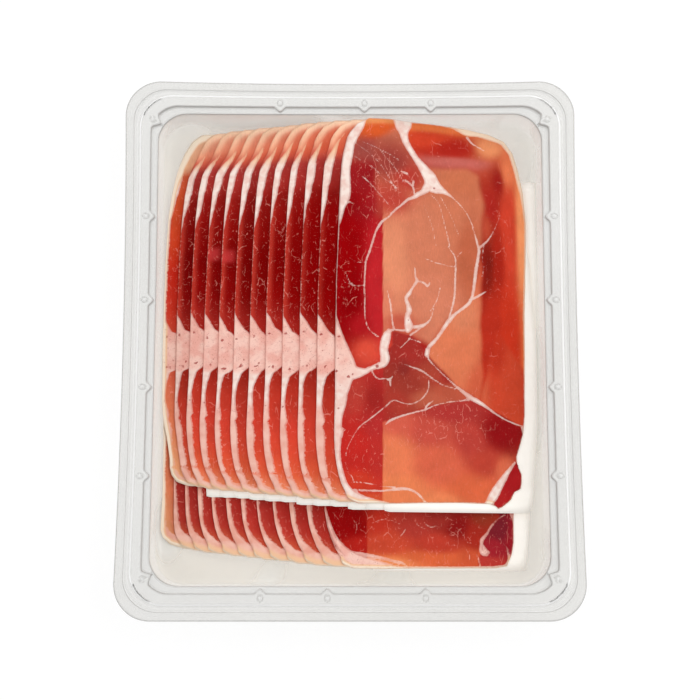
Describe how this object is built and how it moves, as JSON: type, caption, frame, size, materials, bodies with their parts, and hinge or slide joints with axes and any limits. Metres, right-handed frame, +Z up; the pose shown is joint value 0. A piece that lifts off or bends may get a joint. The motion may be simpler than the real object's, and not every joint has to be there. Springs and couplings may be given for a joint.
{
  "type": "pack of sliced prosciutto",
  "caption": "Clear sealed tray holding two shingled layers of thin cured ham slices, each on a sheet of paper.",
  "frame": {"origin": "middle of the underside of the tray", "axes": "+Z up, out of the film lid; +Y to the far end, along the pack's length; +X across the pack, the way the slices are shingled"},
  "size_m": [0.25, 0.297, 0.0252],
  "materials": {
    "clear_tray": "clear glossy formed plastic",
    "clear_film": "clear glossy film",
    "ham": "moist, marbled red and cream",
    "interleaf": "matte white"
  },
  "bodies": {
    "root": {"tray": "clear_tray", "lid_film": "clear_film", "lower_slice_01": "ham", "lower_slice_02": "ham", "lower_slice_03": "ham", "lower_slice_04": "ham", "lower_slice_05": "ham", "lower_slice_06": "ham", "lower_slice_07": "ham", "lower_slice_08": "ham", "lower_slice_09": "ham", "lower_slice_10": "ham", "lower_slice_11": "ham", "lower_slice_12": "ham", "upper_slice_01": "ham", "upper_slice_02": "ham", "upper_slice_03": "ham", "upper_slice_04": "ham", "upper_slice_05": "ham", "upper_slice_06": "ham", "upper_slice_07": "ham", "upper_slice_08": "ham", "upper_slice_09": "ham", "upper_slice_10": "ham", "upper_slice_11": "ham", "upper_slice_12": "ham", "lower_paper_01": "interleaf", "lower_paper_02": "interleaf", "lower_paper_03": "interleaf", "lower_paper_04": "interleaf", "lower_paper_05": "interleaf", "lower_paper_06": "interleaf", "lower_paper_07": "interleaf", "lower_paper_08": "interleaf", "lower_paper_09": "interleaf", "lower_paper_10": "interleaf", "lower_paper_11": "interleaf", "lower_paper_12": "interleaf", "upper_paper_01": "interleaf", "upper_paper_02": "interleaf", "upper_paper_03": "interleaf", "upper_paper_04": "interleaf", "upper_paper_05": "interleaf", "upper_paper_06": "interleaf", "upper_paper_07": "interleaf", "upper_paper_08": "interleaf", "upper_paper_09": "interleaf", "upper_paper_10": "interleaf", "upper_paper_11": "interleaf", "upper_paper_12": "interleaf"}
  },
  "joints": []
}
